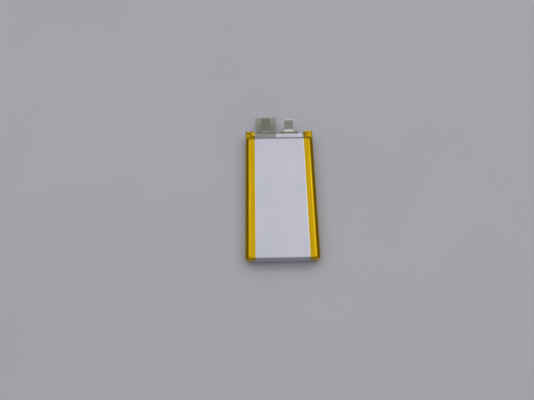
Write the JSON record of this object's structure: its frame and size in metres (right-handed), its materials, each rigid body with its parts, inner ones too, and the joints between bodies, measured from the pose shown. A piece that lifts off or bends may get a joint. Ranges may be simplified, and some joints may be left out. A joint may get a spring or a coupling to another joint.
{
  "type": "pouch battery cell",
  "caption": "Flat lithium polymer pouch cell in a foil laminate bag, with taped long sides, a sealed top ledge, a bare negative tab and an insulated positive tab.",
  "frame": {"origin": "centre of the pouch's flat rear face, on which the cell lies, midway along the drawn cups and without the top seal ledge", "axes": "+X across the width towards the side of the negative tab, +Y along the length towards the tabs, +Z through the thickness out of the front face"},
  "size_m": [0.03, 0.0679, 0.006],
  "materials": {
    "laminate": "satin nylon-faced aluminium laminate",
    "side_tape": "glossy amber polyimide film",
    "tab_aluminium": "bright rolled strip",
    "tab_nickel": "bright nickel strip",
    "seal_film": "translucent polypropylene",
    "cover_tape": "translucent greenish polyester film",
    "separator": "white microporous film",
    "anode": "graphite coating on copper foil",
    "cathode": "lithium metal oxide coating on aluminium foil",
    "weld_tape": "green-tinted polyimide film",
    "roll_tape": "blue-tinted polypropylene film"
  },
  "bodies": {
    "root": {"pouch_front_shell": "laminate", "pouch_rear_shell": "laminate", "side_tape_right": "side_tape", "side_tape_left": "side_tape", "positive_tab": "tab_aluminium", "positive_tab_extension": "tab_nickel", "positive_tab_cover_tape": "cover_tape", "positive_seal_film_front": "seal_film", "positive_seal_film_rear": "seal_film", "negative_tab": "tab_nickel", "negative_seal_film_front": "seal_film", "negative_seal_film_rear": "seal_film", "separator_outer": "separator", "separator_inner": "separator", "anode_sheet": "anode", "cathode_sheet": "cathode", "anode_weld_tape": "weld_tape", "cathode_weld_tape": "weld_tape", "roll_closing_tape": "roll_tape", "roll_bottom_tape": "roll_tape"}
  },
  "joints": []
}
